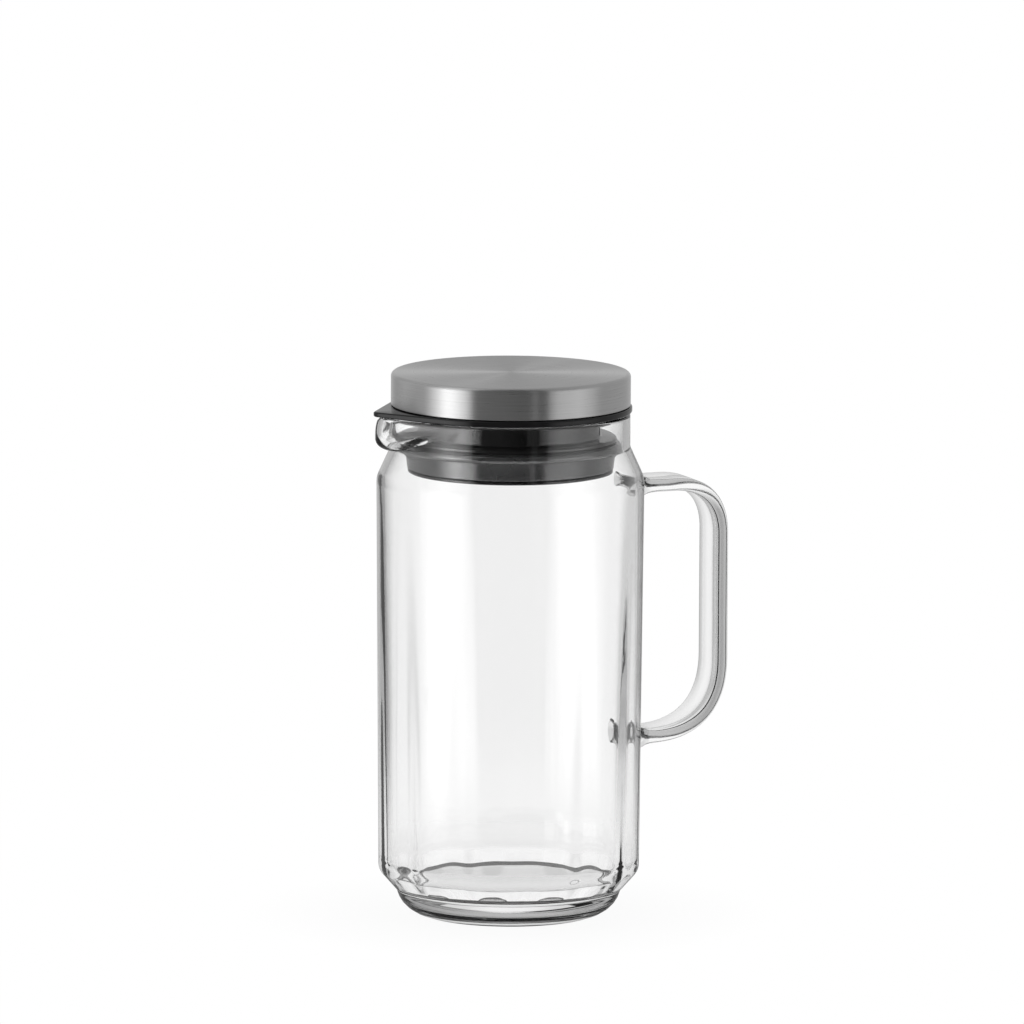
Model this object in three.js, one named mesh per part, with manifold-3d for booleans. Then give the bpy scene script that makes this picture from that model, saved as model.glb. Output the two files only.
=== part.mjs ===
// Glass pitcher with a steel-capped lid, in millimetres with +Z up.
// The jug stands on z = 0 with its axis on Z. The spout points along -X and the handle along +X.

import * as THREE from 'three';
import { mergeVertices } from 'three/addons/utils/BufferGeometryUtils.js';
import Module from 'manifold-3d';

const wasm = await Module();
wasm.setup();

// Clearances shared by neighbouring pieces
const SEAT_GAP = 0.3;          // between lid pieces that touch, and between the lid and the glass
const FUSE_GAP = 0.3;          // between the handle's pads and the wall that they are fused to
const SCREW_FIT = 0.2;         // around a screw's shank in its hole

// Jug
const BODY_RADIUS = 49;        // outside, just above the base slope
const BODY_FLARE = 1.3;        // how much wider the wall is at the shoulder
const WALL = 3.2;
const WALL_HEIGHT = 148.6;     // from the base slope to the shoulder
const FOOT_ROUND = 13.2;       // width of the rounded edge under the foot
const FOOT_HEIGHT = 9.2;       // height of that rounded edge
const SLOPE_INSET = 7;         // how far the base slope draws in under the wall
const SLOPE_HEIGHT = 8.2;
const FLOOR_THICKNESS = 12;    // solid glass under the drink
const FLOOR_INSET = 4.8;       // how far the floor's edge lies in from the inner wall
const FLOOR_SLOPE = 8.1;       // height of the inner slope that joins floor and wall
const SHOULDER_HEIGHT = 11.9;
const NECK_INSET = 5.4;        // how far the neck draws in from the shoulder
const NECK_HEIGHT = 13;
const NECK_WALL = 2.7;
const FLUTES = 12;             // shallow hollows down the inner wall, one of them under the spout
const FLUTE_DEPTH = 0.9;       // at the floor
const FLUTE_TOP_DEPTH = 0.2;   // at the shoulder

// Spout: a pocket pressed out of the neck
const SPOUT_REACH = 9.4;       // beyond the neck's outside
const SPOUT_TIP = 5;           // radius of its tip, seen from above
const SPOUT_LIFT = 0.2;        // from the neck's lower edge up to the pocket
const SPOUT_ROUND = 3.6;       // height of the round under the pocket
const SPOUT_CLIMB = 9;         // how much higher the pocket starts at its sides than in its middle
const SPOUT_WALL = 1.8;        // glass under the pocket

// Handle: a flat glass strap
const STRAP_WIDTH = 20;
const STRAP_THICKNESS = 5;
const FINGER_GAP = 30;         // between the wall and the strap
const HANDLE_DROP = 4.8;       // from the shoulder down to the middle of the upper arm
const HANDLE_SPAN = 95.6;      // between the middles of the two arms
const HANDLE_ROOT = 8;         // how far the arms run in before the wall trims them
const UPPER_BEND = 17;
const LOWER_BEND = 25;
const PAD_WIDTH = 25;
const PAD_HEIGHT = 10.6;
const PAD_FLARE = 4.5;         // how far a pad stands out from the wall

// Lid
const CAP_HEIGHT = 12.1;
const CAP_OVERHANG = 0.1;      // beyond the neck's outside
const CAP_SHEET = 0.8;
const CAP_EDGE = 1.6;          // outer radius of the drawn edge
const GASKET_THICKNESS = 2.3;
const GASKET_OVERHANG = 0.7;   // beyond the neck's outside
const GASKET_GRIP = 7;         // width clamped between plug and insert
const TONGUE_OVERHANG = 0.8;   // beyond the spout's tip
const TONGUE_TIP = 3;          // radius of its tip, seen from above
const PLUG_GAP = 2.4;          // between the plug's flange and the neck's bore
const PLUG_FLANGE = 1.4;       // thickness of the flange over the seal
const PLUG_THROAT = 6.3;       // how far the plug draws in above that flange
const PLUG_WALL = 2;
const PLUG_PLATE = 2.4;
const PLUG_FOOT = 1.2;         // height of the foot that holds the seal on
const PLUG_FOOT_LIP = 1.2;     // how far that foot stands out under the seal
const SEAL_SEAT = 2.6;         // depth of the step that the seal sits in
const SEAL_RISE = 0.6;         // from the neck's lower edge up to the middle of the bead
const SEAL_BEAD = 3.8;         // height of the round bead that meets the glass
const SEAL_ROOT = 2.4;         // how far the seal stands out from its seat under the bead
const SEAL_SKIRT = 6.8;        // height of the tapered skirt below the bead
const SEAL_LIP = 1.4;          // how far the skirt's lower edge stands out from the seat
const SLOTS = 5;               // pouring slots in the plug's back
const SLOT_WIDTH = 5.6;
const SLOT_BAR = 2.6;
const SLOT_MARGIN = 0.3;       // above and below a slot
const INSERT_PLATE = 2;
const INSERT_RIM = 2.4;
const BOSSES = 3;
const BOSS_RADIUS = 4.2;
const BOSS_INSET = 3.6;        // from the gasket's bore in to a boss
const SCREW_RADIUS = 1.5;
const SCREW_GRIP = 9;          // length of shank inside the boss
const SCREW_HEAD_RADIUS = 3;
const SCREW_HEAD = 1.8;
const RECESS_WIDTH = 0.9;      // of the cross in a screw's head
const RECESS_LENGTH = 3.6;
const RECESS_DEPTH = 1;
const CUT_MARGIN = 1;          // how far a cutting shape runs past the wall that it cuts

// Facets
const TURN = 60;               // around the jug and the lid, a multiple of the flutes
const SMALL_TURN = 24;         // around bosses and screws
const ARC = 2;                 // half the steps of a rounded corner
const STRAP_STEPS = 40;
const POCKET_RINGS = 6;        // up the spout's pocket

// Levels and radii that follow from the sizes above
const slopeTop = FOOT_HEIGHT + SLOPE_HEIGHT;
const shoulderZ = slopeTop + WALL_HEIGHT;
const neckZ = shoulderZ + SHOULDER_HEIGHT;
const rimZ = neckZ + NECK_HEIGHT;
const spoutZ = neckZ + SPOUT_LIFT;
const shoulderRadius = BODY_RADIUS + BODY_FLARE;
const neckRadius = shoulderRadius - NECK_INSET;
const neckBore = neckRadius - NECK_WALL;
const floorRadius = BODY_RADIUS - WALL - FLOOR_INSET;
const spoutTip = neckRadius + SPOUT_REACH;
const capRadius = neckRadius + CAP_OVERHANG;
const plugRadius = neckBore - PLUG_GAP;
const seatRadius = plugRadius - SEAL_SEAT;
const throatRadius = plugRadius - PLUG_THROAT;
const gasketBore = throatRadius - GASKET_GRIP;
const bossCircle = gasketBore - BOSS_INSET - BOSS_RADIUS;

const glass = new THREE.MeshStandardMaterial({ color: 0xdfe4e4, roughness: 0.04, metalness: 0 });
const steel = new THREE.MeshStandardMaterial({ color: 0xb4b4b2, roughness: 0.3, metalness: 1 });
const blackPlastic = new THREE.MeshStandardMaterial({ color: 0x0e0e0f, roughness: 0.25, metalness: 0 });
const greyPlastic = new THREE.MeshStandardMaterial({ color: 0x4a4b4d, roughness: 0.5, metalness: 0 });
const blackSilicone = new THREE.MeshStandardMaterial({ color: 0x101011, roughness: 0.45, metalness: 0 });
const greySilicone = new THREE.MeshStandardMaterial({ color: 0x2e2f31, roughness: 0.5, metalness: 0 });
const screwSteel = new THREE.MeshStandardMaterial({ color: 0x9c9d9f, roughness: 0.35, metalness: 1 });

// Turns a closed geometry into a solid that can be cut and joined.
function solid(geometry) {
  const bare = geometry.clone();
  bare.deleteAttribute('normal');
  bare.deleteAttribute('uv');
  const merged = mergeVertices(bare);
  const corners = merged.index.array;
  const triangles = [];
  for (let i = 0; i < corners.length; i += 3) {
    const [a, b, c] = corners.slice(i, i + 3);
    if (a !== b && b !== c && c !== a) triangles.push(a, b, c);
  }
  const mesh = new wasm.Mesh({
    numProp: 3,
    vertProperties: new Float32Array(merged.attributes.position.array),
    triVerts: new Uint32Array(triangles),
  });
  return new wasm.Manifold(mesh);
}

// Turns a solid back into a geometry.
function surface(body) {
  const mesh = body.getMesh();
  const geometry = new THREE.BufferGeometry();
  geometry.setAttribute('position', new THREE.BufferAttribute(mesh.vertProperties, mesh.numProp));
  geometry.setIndex(new THREE.BufferAttribute(mesh.triVerts, 1));
  geometry.computeVertexNormals();
  return geometry;
}

function piece(name, body, material) {
  const mesh = new THREE.Mesh(surface(body), material);
  mesh.name = name;
  return mesh;
}

// Revolves a profile of (radius, height) points about +Z.
function revolve(profile, steps = TURN) {
  return new THREE.LatheGeometry(profile, steps).rotateX(Math.PI / 2);
}

function cylinder(radius, bottom, top) {
  const height = top - bottom;
  return new THREE.CylinderGeometry(radius, radius, height, SMALL_TURN)
    .rotateX(Math.PI / 2)
    .translate(0, 0, bottom + height / 2);
}

// The plan of a round plate with a pointed tongue: a circle joined by its tangents to a small tip circle.
function tongueTangent(radius, tip, tipRadius) {
  return Math.acos((radius - tipRadius) / (tip - tipRadius));
}

// How far that plan lies from the axis, at an angle from the tongue's middle.
function tongueRadius(angle, radius, tip, tipRadius) {
  const tipCentre = tip - tipRadius;
  const tangent = tongueTangent(radius, tip, tipRadius);
  const tipEdge = Math.atan2(tipRadius * Math.sin(tangent), tipCentre + tipRadius * Math.cos(tangent));
  if (angle >= tangent) return radius;
  if (angle >= tipEdge) return radius / Math.cos(tangent - angle);
  return tipCentre * Math.cos(angle) + Math.sqrt(tipRadius ** 2 - (tipCentre * Math.sin(angle)) ** 2);
}

// Heights of the rings that shape the spout's pocket, from its foot up to the rim.
function pocketRings(start, end) {
  return Array.from({ length: POCKET_RINGS }, (_, k) => THREE.MathUtils.lerp(start, end, k / POCKET_RINGS));
}

// How much of the spout's reach the pocket has at a height above its foot.
function pocketShare(height) {
  const rise = THREE.MathUtils.clamp(height / SPOUT_ROUND, 0, 1);
  return Math.sqrt(1 - (1 - rise) ** 2);
}

// The outside of the jug from the middle of its foot up to the neck, widened by a clearance.
function jugOutside(clearance = 0) {
  const footRadius = BODY_RADIUS - SLOPE_INSET - FOOT_ROUND;
  const path = new THREE.Path();
  path.moveTo(0, 0);
  path.lineTo(footRadius + clearance, 0);
  path.absellipse(footRadius + clearance, FOOT_HEIGHT, FOOT_ROUND, FOOT_HEIGHT, -Math.PI / 2, 0, false);
  path.lineTo(BODY_RADIUS + clearance, slopeTop);
  path.lineTo(shoulderRadius + clearance, shoulderZ);
  path.lineTo(neckRadius + clearance, neckZ);
  return path;
}

function jugBody() {
  const rimRound = NECK_WALL / 2;
  const innerSpoutZ = spoutZ + SPOUT_WALL;
  const path = jugOutside();
  const rimFoot = rimZ - rimRound;
  for (const z of pocketRings(spoutZ, rimFoot)) path.lineTo(neckRadius, z);
  path.lineTo(neckRadius, rimFoot);
  path.absarc(neckRadius - rimRound, rimFoot, rimRound, 0, Math.PI, false);
  const rimTop = path.getPoints(ARC).length - 1 - ARC;
  for (const z of pocketRings(innerSpoutZ, rimFoot).reverse()) path.lineTo(neckBore, z);
  path.lineTo(neckBore, neckZ);
  path.lineTo(shoulderRadius - WALL, shoulderZ);
  path.lineTo(BODY_RADIUS - WALL, FLOOR_THICKNESS + FLOOR_SLOPE);
  path.lineTo(floorRadius, FLOOR_THICKNESS);
  path.lineTo(0, FLOOR_THICKNESS);
  const profile = path.getPoints(ARC);

  const geometry = revolve(profile);
  const position = geometry.attributes.position;
  const point = new THREE.Vector3();
  for (let i = 0; i < position.count; i++) {
    point.fromBufferAttribute(position, i);
    const radius = Math.hypot(point.x, point.y);
    if (radius === 0) continue;
    const angle = Math.atan2(point.y, point.x);
    const outer = i % profile.length <= rimTop;
    const flute = outer ? 0 : fluteDepth(angle, point.z);
    const moved = radius + spoutGrowth(angle, point.z, outer) - flute;
    position.setXY(i, moved * Math.cos(angle), moved * Math.sin(angle));
  }
  return solid(geometry);
}

// How far the spout's pocket pushes the neck outwards at an angle about the axis.
function spoutGrowth(angle, z, outer) {
  const fromSpout = Math.PI - Math.abs(angle);
  const plan = tongueRadius(fromSpout, neckRadius, spoutTip, SPOUT_TIP);
  const side = Math.min(fromSpout / tongueTangent(neckRadius, spoutTip, SPOUT_TIP), 1);
  const foot = spoutZ + SPOUT_CLIMB * side + (outer ? 0 : SPOUT_WALL);
  return (plan - neckRadius) * pocketShare(z - foot);
}

// How far the ridges between the flutes stand in from the inner wall, fading out up the shoulder.
function fluteDepth(angle, z) {
  const climb = THREE.MathUtils.clamp((z - FLOOR_THICKNESS) / (shoulderZ - FLOOR_THICKNESS), 0, 1);
  const fade = THREE.MathUtils.clamp((neckZ - z) / SHOULDER_HEIGHT, 0, 1);
  const depth = THREE.MathUtils.lerp(FLUTE_DEPTH, FLUTE_TOP_DEPTH, climb) * fade;
  return depth * (1 - Math.abs(Math.cos((angle * FLUTES) / 2)));
}

function handle() {
  const upperZ = shoulderZ - HANDLE_DROP;
  const lowerZ = upperZ - HANDLE_SPAN;
  const gripX = shoulderRadius + FINGER_GAP + STRAP_THICKNESS / 2;
  const rootX = BODY_RADIUS - HANDLE_ROOT;
  const line = new THREE.Path();
  line.moveTo(rootX, upperZ);
  line.lineTo(gripX - UPPER_BEND, upperZ);
  line.absarc(gripX - UPPER_BEND, upperZ - UPPER_BEND, UPPER_BEND, Math.PI / 2, 0, true);
  line.lineTo(gripX, lowerZ + LOWER_BEND);
  line.absarc(gripX - LOWER_BEND, lowerZ + LOWER_BEND, LOWER_BEND, 0, -Math.PI / 2, true);
  line.lineTo(rootX, lowerZ);
  const route = line.getSpacedPoints(STRAP_STEPS).map((p) => new THREE.Vector3(p.x, 0, p.y));

  const flat = (STRAP_WIDTH - STRAP_THICKNESS) / 2;
  const section = new THREE.Shape();
  section.absarc(0, -flat, STRAP_THICKNESS / 2, Math.PI, 2 * Math.PI, false);
  section.absarc(0, flat, STRAP_THICKNESS / 2, 0, Math.PI, false);
  const strap = new THREE.ExtrudeGeometry(section, {
    steps: STRAP_STEPS,
    curveSegments: ARC,
    extrudePath: new THREE.CatmullRomCurve3(route),
  });

  let body = solid(strap);
  for (const z of [upperZ, lowerZ]) {
    const share = (z - slopeTop) / WALL_HEIGHT;
    const wallX = BODY_RADIUS + BODY_FLARE * share;
    const pad = new THREE.SphereGeometry(1, SMALL_TURN, SMALL_TURN / 2)
      .scale(PAD_FLARE, PAD_WIDTH / 2, PAD_HEIGHT / 2)
      .translate(wallX, 0, z);
    body = body.add(solid(pad));
  }
  const outside = jugOutside(FUSE_GAP);
  outside.lineTo(neckRadius, rimZ);
  outside.lineTo(0, rimZ);
  return body.subtract(solid(revolve(outside.getPoints(ARC))));
}

// The lid's pieces are drawn with z = 0 on the jug's rim.
const gasketBottom = SEAT_GAP;
const gasketTop = gasketBottom + GASKET_THICKNESS;
const capBottom = gasketTop + SEAT_GAP;
const capTop = capBottom + CAP_HEIGHT;
const plateBottom = -PLUG_PLATE;
const beadZ = SEAL_RISE - NECK_HEIGHT;
const sealTop = beadZ + SEAL_BEAD / 2;
const sealBottom = sealTop - SEAL_BEAD - SEAL_SKIRT;
const plugBottom = sealBottom - SEAT_GAP - PLUG_FOOT;
const bossAngles = Array.from({ length: BOSSES }, (_, k) => (2 * Math.PI * k) / BOSSES);

function atBoss(geometry, angle) {
  return geometry.translate(bossCircle * Math.cos(angle), bossCircle * Math.sin(angle), 0);
}

function cap() {
  const inner = capRadius - CAP_SHEET;
  const ceiling = capTop - CAP_SHEET;
  const innerEdge = CAP_EDGE - CAP_SHEET;
  const path = new THREE.Path();
  path.moveTo(0, ceiling);
  path.lineTo(inner - innerEdge, ceiling);
  path.absarc(inner - innerEdge, ceiling - innerEdge, innerEdge, Math.PI / 2, 0, true);
  path.lineTo(inner, capBottom);
  path.lineTo(capRadius, capBottom);
  path.lineTo(capRadius, capTop - CAP_EDGE);
  path.absarc(capRadius - CAP_EDGE, capTop - CAP_EDGE, CAP_EDGE, 0, Math.PI / 2, false);
  path.lineTo(0, capTop);
  return solid(revolve(path.getPoints(ARC)));
}

function capInsert() {
  const outer = capRadius - CAP_SHEET - SEAT_GAP;
  const top = capTop - CAP_SHEET - SEAT_GAP;
  const plate = top - INSERT_PLATE;
  const profile = [
    [0, plate],
    [outer - INSERT_RIM, plate],
    [outer - INSERT_RIM, capBottom],
    [outer, capBottom],
    [outer, top - CAP_EDGE],
    [outer - CAP_EDGE, top],
    [0, top],
  ].map(([r, z]) => new THREE.Vector2(r, z));
  let body = solid(revolve(profile));
  for (const angle of bossAngles) {
    const boss = atBoss(cylinder(BOSS_RADIUS, SEAT_GAP, plate + INSERT_PLATE / 2), angle);
    const hole = atBoss(cylinder(SCREW_RADIUS + SCREW_FIT, 0, SEAT_GAP + SCREW_GRIP), angle);
    body = body.add(solid(boss)).subtract(solid(hole));
  }
  return body;
}

function rimGasket() {
  const radius = neckRadius + GASKET_OVERHANG;
  const tip = spoutTip + TONGUE_OVERHANG;
  const tangent = tongueTangent(radius, tip, TONGUE_TIP);
  const plan = new THREE.Shape();
  plan.absarc(0, 0, radius, -Math.PI + tangent, Math.PI - tangent, false);
  plan.absarc(TONGUE_TIP - tip, 0, TONGUE_TIP, Math.PI - tangent, Math.PI + tangent, false);
  const bore = new THREE.Path();
  bore.absarc(0, 0, gasketBore, 0, 2 * Math.PI, false);
  plan.holes.push(bore);
  const plate = new THREE.ExtrudeGeometry(plan, {
    depth: GASKET_THICKNESS,
    bevelEnabled: false,
    curveSegments: TURN / 2,
  });
  return solid(plate.translate(0, 0, gasketBottom));
}

function plug() {
  const throatBore = throatRadius - PLUG_WALL;
  const seatBore = seatRadius - PLUG_WALL;
  const foot = seatRadius + PLUG_FOOT_LIP;
  const stepZ = sealTop + SEAT_GAP;
  const flangeTop = stepZ + PLUG_FLANGE;
  const profile = [
    [0, plateBottom],
    [throatBore, plateBottom],
    [throatBore, flangeTop - PLUG_WALL],
    [seatBore, flangeTop - PLUG_WALL],
    [seatBore, plugBottom],
    [foot, plugBottom],
    [foot, plugBottom + PLUG_FOOT],
    [seatRadius, plugBottom + PLUG_FOOT],
    [seatRadius, stepZ],
    [plugRadius, stepZ],
    [plugRadius, flangeTop],
    [throatRadius, flangeTop],
    [throatRadius, 0],
    [0, 0],
  ].map(([r, z]) => new THREE.Vector2(r, z));
  let body = solid(revolve(profile));
  for (const angle of bossAngles) {
    const holeBottom = plateBottom - CUT_MARGIN;
    const hole = atBoss(cylinder(SCREW_RADIUS + SCREW_FIT, holeBottom, CUT_MARGIN), angle);
    body = body.subtract(solid(hole));
  }
  const slotBottom = flangeTop + SLOT_MARGIN;
  const slotTop = plateBottom - SLOT_MARGIN;
  const slotDepth = PLUG_WALL + 2 * CUT_MARGIN;
  const pitch = (SLOT_WIDTH + SLOT_BAR) / throatRadius;
  for (let k = 0; k < SLOTS; k++) {
    const slot = new THREE.BoxGeometry(slotDepth, SLOT_WIDTH, slotTop - slotBottom)
      .translate(throatRadius - PLUG_WALL / 2, 0, (slotBottom + slotTop) / 2)
      .rotateZ((k - (SLOTS - 1) / 2) * pitch);
    body = body.subtract(solid(slot));
  }
  return body;
}

function seal() {
  const inner = seatRadius + SEAT_GAP;
  const root = seatRadius + SEAL_ROOT;
  const beadReach = neckBore - SEAT_GAP - root;
  const path = new THREE.Path();
  path.moveTo(inner, sealBottom);
  path.lineTo(seatRadius + SEAL_LIP, sealBottom);
  path.lineTo(root, beadZ - SEAL_BEAD / 2);
  path.absellipse(root, beadZ, beadReach, SEAL_BEAD / 2, -Math.PI / 2, Math.PI / 2, false);
  path.lineTo(inner, sealTop);
  path.lineTo(inner, sealBottom);
  return solid(revolve(path.getPoints(ARC)));
}

function screw(angle) {
  const headTop = plateBottom - SEAT_GAP;
  const headBottom = headTop - SCREW_HEAD;
  const shank = cylinder(SCREW_RADIUS, headTop - SCREW_HEAD / 2, SEAT_GAP + SCREW_GRIP - SCREW_FIT);
  const head = cylinder(SCREW_HEAD_RADIUS, headBottom, headTop);
  let body = solid(head).add(solid(shank));
  for (const turn of [0, Math.PI / 2]) {
    const recess = new THREE.BoxGeometry(RECESS_LENGTH, RECESS_WIDTH, RECESS_DEPTH * 2)
      .rotateZ(turn)
      .translate(0, 0, headBottom);
    body = body.subtract(solid(recess));
  }
  return body.translate(bossCircle * Math.cos(angle), bossCircle * Math.sin(angle), 0);
}

const lid = new THREE.Group();
lid.position.z = rimZ;
lid.add(piece('steel_cap', cap(), steel));
lid.add(piece('cap_insert', capInsert(), greyPlastic));
lid.add(piece('rim_gasket', rimGasket(), blackSilicone));
lid.add(piece('lid_plug', plug(), blackPlastic));
lid.add(piece('seal_ring', seal(), greySilicone));
bossAngles.forEach((angle, k) => lid.add(piece(`lid_screw_${k + 1}`, screw(angle), screwSteel)));

const pitcher = new THREE.Group();
pitcher.add(piece('glass_body', jugBody(), glass));
pitcher.add(piece('glass_handle', handle(), glass));
pitcher.add(lid);

export default pitcher;
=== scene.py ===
import math

import bmesh
import bpy
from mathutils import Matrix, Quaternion, Vector


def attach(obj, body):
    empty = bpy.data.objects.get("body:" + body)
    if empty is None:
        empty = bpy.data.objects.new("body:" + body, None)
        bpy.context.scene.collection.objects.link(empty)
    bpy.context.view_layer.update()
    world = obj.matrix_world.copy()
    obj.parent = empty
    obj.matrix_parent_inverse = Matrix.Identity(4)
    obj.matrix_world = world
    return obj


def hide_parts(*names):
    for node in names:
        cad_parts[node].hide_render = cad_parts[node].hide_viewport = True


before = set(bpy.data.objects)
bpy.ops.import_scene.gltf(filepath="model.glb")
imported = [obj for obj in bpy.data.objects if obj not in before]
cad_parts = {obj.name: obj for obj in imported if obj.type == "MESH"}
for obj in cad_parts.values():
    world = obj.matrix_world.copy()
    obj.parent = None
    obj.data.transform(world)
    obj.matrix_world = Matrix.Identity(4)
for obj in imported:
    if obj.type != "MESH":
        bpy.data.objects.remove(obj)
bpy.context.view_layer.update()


# The glass jug.
# One piece of clear pressed glass: a thick foot, a straight wall with soft flutes inside, a sloping
# shoulder and a neck pinched out into a spout. The strap handle was joined on hot, so no seam is left.

# Sizes are in millimetres, from the middle of the foot.
mm = 0.001
wall_foot = 17.4
wall_foot_radius = 49.0
wall_top = 166.0
wall_top_radius = 50.3
bore_foot = 20.1
bore_foot_radius = 45.2
bore_top_radius = 47.7
neck_foot = 177.9
rim = 190.9
neck_radius = 44.9
neck_bore = 42.2
floor_top = 11.6
well_radius = 40.6
well_round = 2.2
well_dish = 1.9
well_rings = [38, 35, 31, 26, 20, 10, 0]
flute_count = 12
flute_depth = 1.05
flute_depth_at_top = 0.06
flute_rise = 3
flute_start = 39
flute_wall = 1.6
spout_foot = 178.1
spout_reach = 54.3
spout_inside = 38.0
spout_tip = 5.0
spout_round = 4.6
spout_wall = 1.8
spout_thinning = 0.92
spout_climb = 9.0
spout_waist = 185.0
spout_lip_share = 0.87
jug_steps = 240


def round_corners(corners, steps=6):
    """The points of a profile whose corners are given as (radius, height, rounding)."""
    points = []
    for before, corner, after in zip([None] + corners[:-1], corners, corners[1:] + [None]):
        here = Vector(corner[:2])
        rounding = corner[2]
        if rounding == 0:
            points.append(here)
            continue
        back = (Vector(before[:2]) - here).normalized()
        onward = (Vector(after[:2]) - here).normalized()
        half = back.angle(onward) / 2
        centre = here + (back + onward).normalized() * rounding / math.sin(half)
        reach = rounding / math.tan(half)
        first = (here + back * reach - centre).normalized()
        last = (here + onward * reach - centre).normalized()
        points += [centre + first.slerp(last, k / steps) * rounding for k in range(steps + 1)]
    return points


def choose(piece, test):
    """Selects the points of a piece in edit mode whose place in millimetres passes a test."""
    mesh = bmesh.from_edit_mesh(piece.data)
    for face in mesh.faces:
        face.select = False
    for edge in mesh.edges:
        edge.select = False
    for point in mesh.verts:
        point.select = test(point.co / mm)
    mesh.select_flush(True)
    bmesh.update_edit_mesh(piece.data)


def close_up(piece):
    """Joins the points that meet and turns every face outwards, then leaves edit mode."""
    bpy.ops.mesh.select_all(action="SELECT")
    bpy.ops.mesh.remove_doubles(threshold=0.002 * mm)
    bpy.ops.mesh.normals_make_consistent(inside=False)
    bpy.ops.object.mode_set(mode="OBJECT")


def turn_on_axis(name, profile, steps):
    """A turned piece: its half section is drawn point by point and spun about the jug's axis."""
    bpy.ops.object.select_all(action="DESELECT")
    bpy.ops.mesh.primitive_plane_add(size=mm)
    piece = bpy.context.object
    piece.name = name
    bpy.ops.object.mode_set(mode="EDIT")
    bpy.ops.mesh.select_all(action="SELECT")
    bpy.ops.mesh.merge(type="CENTER")
    bpy.ops.transform.translate(value=(profile[0].x * mm, 0, profile[0].y * mm))
    for here, there in zip(profile, profile[1:]):
        stride = (there - here) * mm
        bpy.ops.mesh.extrude_vertices_move(TRANSFORM_OT_translate={"value": (stride.x, 0, stride.y)})
    bpy.ops.mesh.select_all(action="SELECT")
    bpy.ops.mesh.spin(steps=steps, angle=2 * math.pi, center=(0, 0, 0), axis=(0, 0, 1))
    close_up(piece)
    return piece


def press(piece, name, share, direction, distance):
    """Moves each point of a piece by its own share of a distance, as the mould does."""
    group = piece.vertex_groups.new(name=name)
    for point in piece.data.vertices:
        weight = share(point.co / mm)
        if weight > 0:
            group.add([point.index], weight, "REPLACE")
    push = piece.modifiers.new(name, "DISPLACE")
    push.direction = direction
    push.mid_level = 0
    push.strength = distance * mm
    push.vertex_group = name
    bpy.ops.object.modifier_apply(modifier=name)
    piece.vertex_groups.remove(piece.vertex_groups[name])


def join_or_cut(piece, tool, operation):
    """Joins a second shape to a piece, or cuts it out of the piece, and removes that shape."""
    bpy.ops.object.select_all(action="DESELECT")
    piece.select_set(True)
    bpy.context.view_layer.objects.active = piece
    change = piece.modifiers.new(tool.name, "BOOLEAN")
    change.operation = operation
    change.object = tool
    change.solver = "EXACT"
    bpy.ops.object.modifier_apply(modifier=change.name)
    bpy.data.objects.remove(tool)


def tongue_growth(lateral, radius, tip, tip_radius):
    """How far a round plan is pulled out to a pointed tongue, at a distance from the tongue's middle."""
    tip_centre = tip - tip_radius
    tangent = math.acos((radius - tip_radius) / tip_centre)
    lateral = abs(lateral)
    if lateral >= radius * math.sin(tangent):
        return 0.0
    circle = math.sqrt(radius**2 - lateral**2)
    if lateral >= tip_radius * math.sin(tangent):
        return (radius - lateral * math.sin(tangent)) / math.cos(tangent) - circle
    return tip_centre + math.sqrt(tip_radius**2 - lateral**2) - circle


rim_round = 1.3
wall_rings = [25, 32, 42, 54, 66, 78, 90, 102, 114, 126, 138, 150, 158]
wall_flare = (wall_top_radius - wall_foot_radius) / (wall_top - wall_foot)
bore_flare = (bore_top_radius - bore_foot_radius) / (wall_top - bore_foot)
outer_wall = [(wall_foot_radius + wall_flare * (z - wall_foot), z, 0) for z in wall_rings]
inner_wall = [(bore_foot_radius + bore_flare * (z - bore_foot), z, 0) for z in reversed(wall_rings)]
spout_ease = 1.2
pocket_rings = 14
pocket_top = rim - rim_round - 0.3


def pocket(start):
    """The heights of the rings that shape the spout, from its foot to the rim."""
    return [start + (pocket_top - start) * k / pocket_rings for k in range(pocket_rings + 1)]


jug_profile = round_corners(
    [(0, 0.5, 0), (12, 0.45, 0), (22, 0.3, 0), (26.4, 0.12, 0)]
    + [(28.8, 0, 0), (32.4, 0.5, 0), (35.4, 1.5, 0), (38.0, 3.1, 0), (40.0, 5.1, 0), (41.2, 7.0, 0)]
    + [(41.8, 8.6, 0), (42.1, 9.6, 0.5), (wall_foot_radius, wall_foot, 5)]
    + outer_wall
    + [(wall_top_radius, wall_top, 9), (neck_radius, neck_foot, 4)]
    + [(neck_radius, height, 0) for height in pocket(spout_foot + spout_ease)]
    + [(neck_radius, rim, rim_round), (neck_bore, rim, rim_round)]
    + [(neck_bore, height, 0) for height in reversed(pocket(spout_foot + spout_wall))]
    + [(neck_bore, neck_foot, 4), (bore_top_radius, wall_top, 7)]
    + inner_wall
    + [(bore_foot_radius, bore_foot, 9), (41.74, 13.7, 0), (well_radius, floor_top, well_round)]
    + [(radius, floor_top - well_dish * (1 - (radius / well_radius) ** 2), 0) for radius in well_rings]
)
jug = turn_on_axis("glass_jug", jug_profile, jug_steps)


def flute_share(place):
    """The ridges between the flutes: deepest near the floor, fading towards the shoulder."""
    radius = math.hypot(place.x, place.y)
    outside = wall_foot_radius + wall_flare * (place.z - wall_foot)
    in_reach = floor_top + 0.01 <= place.z <= neck_foot
    if not in_reach or radius > outside - flute_wall or radius < flute_start:
        return 0.0
    climb = min((place.z - floor_top) / (wall_top - floor_top), 1)
    fade = min((neck_foot - place.z) / (neck_foot - wall_top), 1)
    rise = min((place.z - floor_top) / flute_rise, 1)
    ridge = (0.5 - 0.5 * math.cos(math.atan2(place.y, place.x) * flute_count)) ** 2
    top_share = flute_depth_at_top / flute_depth
    return (1 + (top_share - 1) * climb) * fade * rise * ridge


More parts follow.
